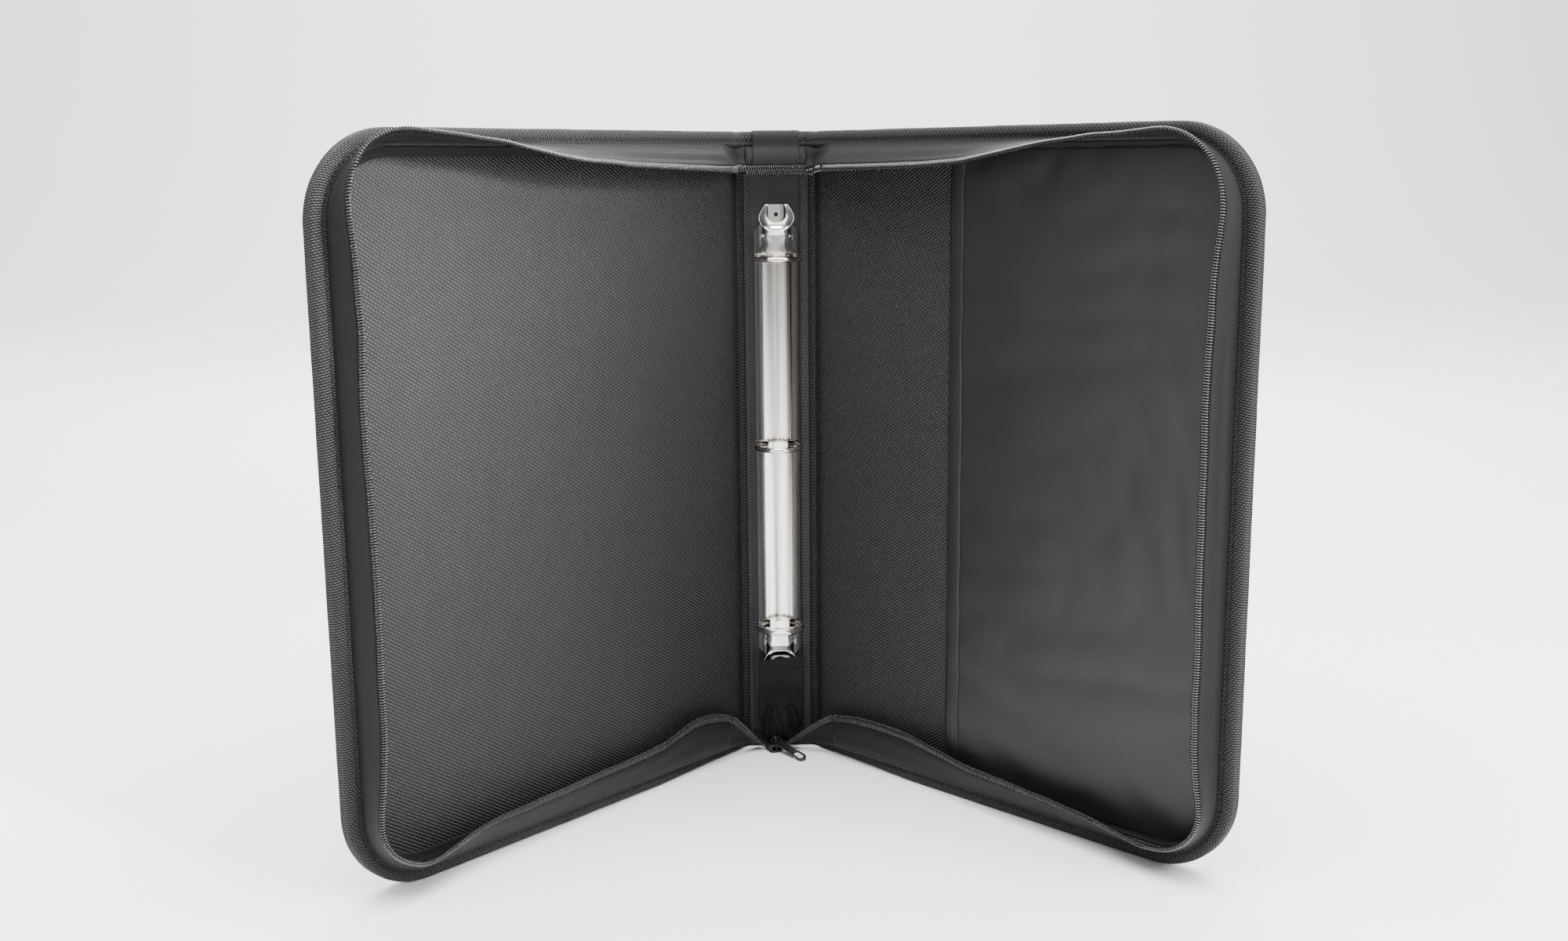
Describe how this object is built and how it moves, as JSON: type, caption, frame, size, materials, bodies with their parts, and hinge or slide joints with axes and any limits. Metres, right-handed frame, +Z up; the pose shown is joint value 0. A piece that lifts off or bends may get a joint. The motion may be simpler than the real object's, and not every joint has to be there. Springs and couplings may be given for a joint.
{
  "type": "zip portfolio case",
  "caption": "Fabric-covered zip-around portfolio case standing open like a book, with a ring-binder mechanism on its spine and a pocket inside the right cover.",
  "frame": {"origin": "on the floor, under the middle of the open case's box", "axes": "+X to the reader's right, +Y away from the reader towards the spine, +Z up along the spine"},
  "size_m": [0.431, 0.2226, 0.365],
  "materials": {
    "outer_fabric": "coarse ribbed woven polyester",
    "board_core": "grey board",
    "lining_fabric": "diagonal textured lining",
    "binding_ribbon": "smooth woven ribbon",
    "seam_twill": "twill tape",
    "zip_tape": "herringbone tape",
    "zip_coil": "moulded nylon coil",
    "pocket_vinyl": "smooth matt vinyl",
    "nickel": "bright nickel plate",
    "blackened_metal": "black enamel"
  },
  "bodies": {
    "spine": {"spine_outer_skin": "outer_fabric", "spine_board": "board_core", "spine_lining": "lining_fabric", "spine_top_border": "outer_fabric", "spine_bottom_border": "outer_fabric", "left_seam_tape": "seam_twill", "right_seam_tape": "seam_twill", "top_gusset": "binding_ribbon", "top_binding_patch": "binding_ribbon", "top_closed_chain": "zip_coil", "zip_end_tab": "binding_ribbon", "zip_tail_chain": "zip_coil", "ring_plate": "nickel", "plate_studs": "nickel", "mounting_eyelets": "nickel", "lever_pins": "nickel"},
    "left_cover": {"left_outer_skin": "outer_fabric", "left_board": "board_core", "left_lining": "lining_fabric", "left_border": "outer_fabric", "left_border_hinge_end": "outer_fabric", "left_zip_tape": "zip_tape", "left_zip_coil": "zip_coil"},
    "right_cover": {"right_outer_skin": "outer_fabric", "right_board": "board_core", "right_lining": "lining_fabric", "right_border": "outer_fabric", "right_border_hinge_end": "outer_fabric", "right_zip_tape": "zip_tape", "right_zip_coil": "zip_coil", "pocket_panel": "pocket_vinyl", "pocket_hem": "pocket_vinyl"},
    "left_ring_half": {"left_blade": "nickel", "left_top_ring": "nickel", "left_middle_ring": "nickel", "left_bottom_ring": "nickel"},
    "right_ring_half": {"right_blade": "nickel", "right_top_ring": "nickel", "right_middle_ring": "nickel", "right_bottom_ring": "nickel"},
    "top_lever": {"top_lever": "nickel"},
    "bottom_lever": {"bottom_lever": "nickel"},
    "zip_slider": {"zip_slider": "blackened_metal", "slider_bridge": "blackened_metal"},
    "pull_tab": {"pull_tab": "blackened_metal"}
  },
  "joints": [
    {"name": "left_cover_hinge", "type": "hinge", "parent": "spine", "child": "left_cover", "pos_m": [-0.0217, 0.11128, 0], "axis": [0, 0, -1], "range_deg": [-40.8, 46.3]},
    {"name": "right_cover_hinge", "type": "hinge", "parent": "spine", "child": "right_cover", "pos_m": [0.0217, 0.11128, 0], "axis": [0, 0, 1], "range_deg": [-40.8, 46.3]},
    {"name": "ring_opening", "type": "hinge", "parent": "spine", "child": "left_ring_half", "pos_m": [-0.011, 0.10598, 0.18635], "axis": [0, 0, -1], "range_deg": [0, 14]},
    {"name": "right_ring_opening", "type": "hinge", "parent": "spine", "child": "right_ring_half", "pos_m": [0.011, 0.10598, 0.18635], "axis": [0, 0, 1], "range_deg": [0, 14]},
    {"name": "top_lever_press", "type": "hinge", "parent": "spine", "child": "top_lever", "pos_m": [0, 0.10428, 0.30595], "axis": [-1, 0, 0], "range_deg": [0, 30]},
    {"name": "bottom_lever_press", "type": "hinge", "parent": "spine", "child": "bottom_lever", "pos_m": [0, 0.10428, 0.06675], "axis": [1, 0, 0], "range_deg": [0, 30]},
    {"name": "slider_run", "type": "slide", "parent": "spine", "child": "zip_slider", "axis": [0.5, -0.866, 0], "range_m": [0, 0.006]},
    {"name": "pull_lift", "type": "hinge", "parent": "zip_slider", "child": "pull_tab", "pos_m": [-0.0046, 0.09948, 0.0071], "axis": [-0.7361, -0.6769, 0], "range_deg": [0, 100]}
  ],
  "couplings": [
    {"joint": "right_ring_opening", "follows": "ring_opening", "ratio": 1},
    {"joint": "top_lever_press", "follows": "ring_opening", "ratio": 2.1428},
    {"joint": "bottom_lever_press", "follows": "ring_opening", "ratio": 2.1428}
  ]
}
